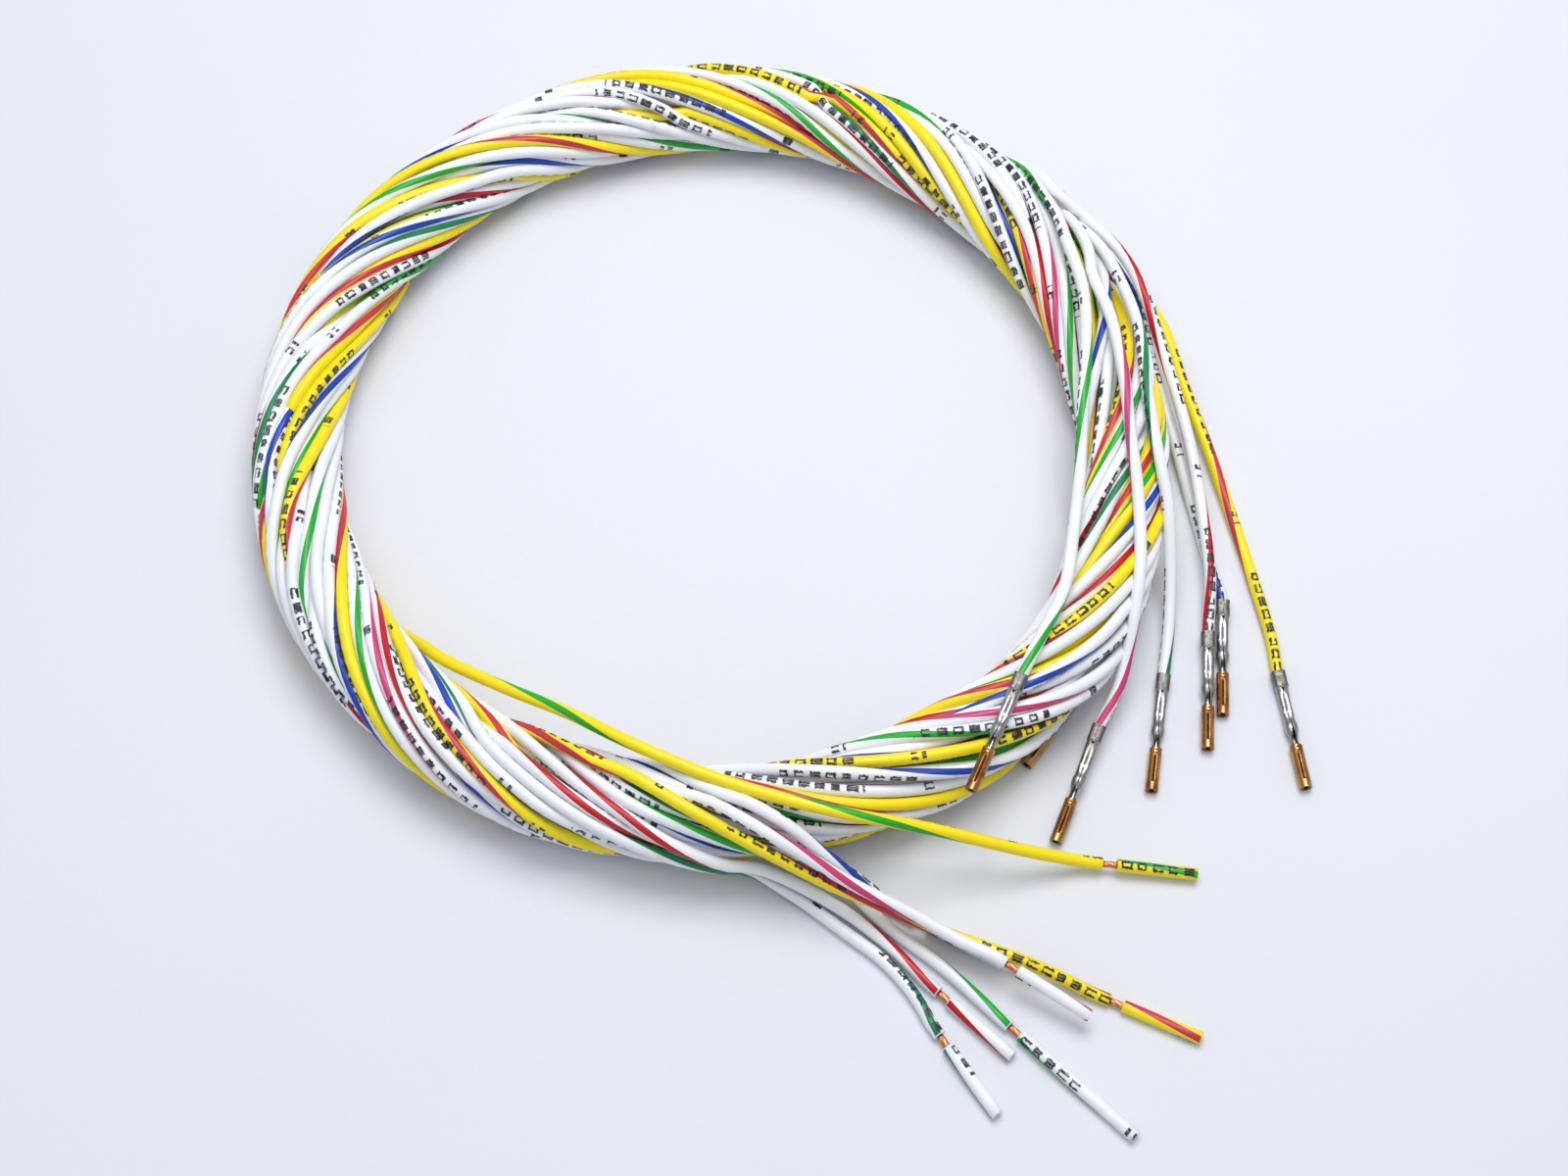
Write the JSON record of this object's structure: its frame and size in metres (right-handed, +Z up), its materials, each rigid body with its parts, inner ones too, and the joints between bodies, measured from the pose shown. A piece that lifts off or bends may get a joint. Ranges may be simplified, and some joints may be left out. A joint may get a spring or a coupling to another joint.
{
  "type": "flying lead set with crimped socket contacts",
  "caption": "Hand-coiled wreath of twisted two-colour hook-up wires, each with a crimped socket contact on one end and a cut, part-stripped other end.",
  "frame": {"origin": "middle of the bounding box, on the plane that the coil rests on", "axes": "+Z up out of the resting plane, +X to the side that the contacts lie on, -Y towards the cut ends"},
  "size_m": [0.1621, 0.1831, 0.0168],
  "materials": {
    "insulation_white": "smooth extruded thin-wall insulation, white with a coloured stripe",
    "insulation_yellow": "smooth extruded thin-wall insulation, yellow with a coloured stripe",
    "copper": "bright stranded copper",
    "tin": "dull tin plate over stamped copper alloy",
    "bronze": "bright rolled copper alloy, gold toned"
  },
  "bodies": {
    "wire_bundle": {"white_green_coil": "insulation_white", "white_green_lead": "insulation_white", "white_green_tail": "insulation_white", "white_green_conductor": "copper", "white_green_contact": "tin", "white_green_sleeve": "bronze", "white_pink_coil": "insulation_white", "white_pink_lead": "insulation_white", "white_pink_tail": "insulation_white", "white_pink_conductor": "copper", "white_pink_contact": "tin", "white_pink_sleeve": "bronze", "white_darkgreen_coil": "insulation_white", "white_darkgreen_lead": "insulation_white", "white_darkgreen_tail": "insulation_white", "white_darkgreen_conductor": "copper", "white_darkgreen_contact": "tin", "white_darkgreen_sleeve": "bronze", "white_red_coil": "insulation_white", "white_red_lead": "insulation_white", "white_red_tail": "insulation_white", "white_red_conductor": "copper", "white_red_contact": "tin", "white_red_sleeve": "bronze", "white_blue_coil": "insulation_white", "white_blue_lead": "insulation_white", "white_blue_tail": "insulation_white", "white_blue_conductor": "copper", "white_blue_contact": "tin", "white_blue_sleeve": "bronze", "yellow_red_coil": "insulation_yellow", "yellow_red_lead": "insulation_yellow", "yellow_red_tail": "insulation_yellow", "yellow_red_conductor": "copper", "yellow_red_contact": "tin", "yellow_red_sleeve": "bronze", "yellow_green_coil": "insulation_yellow", "yellow_green_lead": "insulation_yellow", "yellow_green_tail": "insulation_yellow", "yellow_green_conductor": "copper", "yellow_green_contact": "tin", "yellow_green_sleeve": "bronze"},
    "white_green_slug_body": {"white_green_slug": "insulation_white"},
    "white_pink_slug_body": {"white_pink_slug": "insulation_white"},
    "white_darkgreen_slug_body": {"white_darkgreen_slug": "insulation_white"},
    "white_red_slug_body": {"white_red_slug": "insulation_white"},
    "white_blue_slug_body": {"white_blue_slug": "insulation_white"},
    "yellow_red_slug_body": {"yellow_red_slug": "insulation_yellow"},
    "yellow_green_slug_body": {"yellow_green_slug": "insulation_yellow"}
  },
  "joints": [
    {"name": "white_green_slug_slide", "type": "slide", "parent": "wire_bundle", "child": "white_green_slug_body", "axis": [0.7254, -0.6884, 0], "range_m": [-0.0019, 0.019]},
    {"name": "white_pink_slug_slide", "type": "slide", "parent": "wire_bundle", "child": "white_pink_slug_body", "axis": [0.8434, -0.527, -0.1045], "range_m": [-0.0019, 0.0095]},
    {"name": "white_darkgreen_slug_slide", "type": "slide", "parent": "wire_bundle", "child": "white_darkgreen_slug_body", "axis": [0.5592, -0.829, 0], "range_m": [-0.0019, 0.0095]},
    {"name": "white_red_slug_slide", "type": "slide", "parent": "wire_bundle", "child": "white_red_slug_body", "axis": [0.7314, -0.682, 0], "range_m": [-0.0019, 0.0095]},
    {"name": "white_blue_slug_slide", "type": "slide", "parent": "wire_bundle", "child": "white_blue_slug_body", "axis": [0.8788, -0.4772, 0], "range_m": [-0.0019, 0.0095]},
    {"name": "yellow_red_slug_slide", "type": "slide", "parent": "wire_bundle", "child": "yellow_red_slug_body", "axis": [0.9135, -0.4067, 0], "range_m": [-0.0019, 0.0095]},
    {"name": "yellow_green_slug_slide", "type": "slide", "parent": "wire_bundle", "child": "yellow_green_slug_body", "axis": [0.9938, -0.1045, -0.0384], "range_m": [-0.0019, 0.0095]}
  ]
}
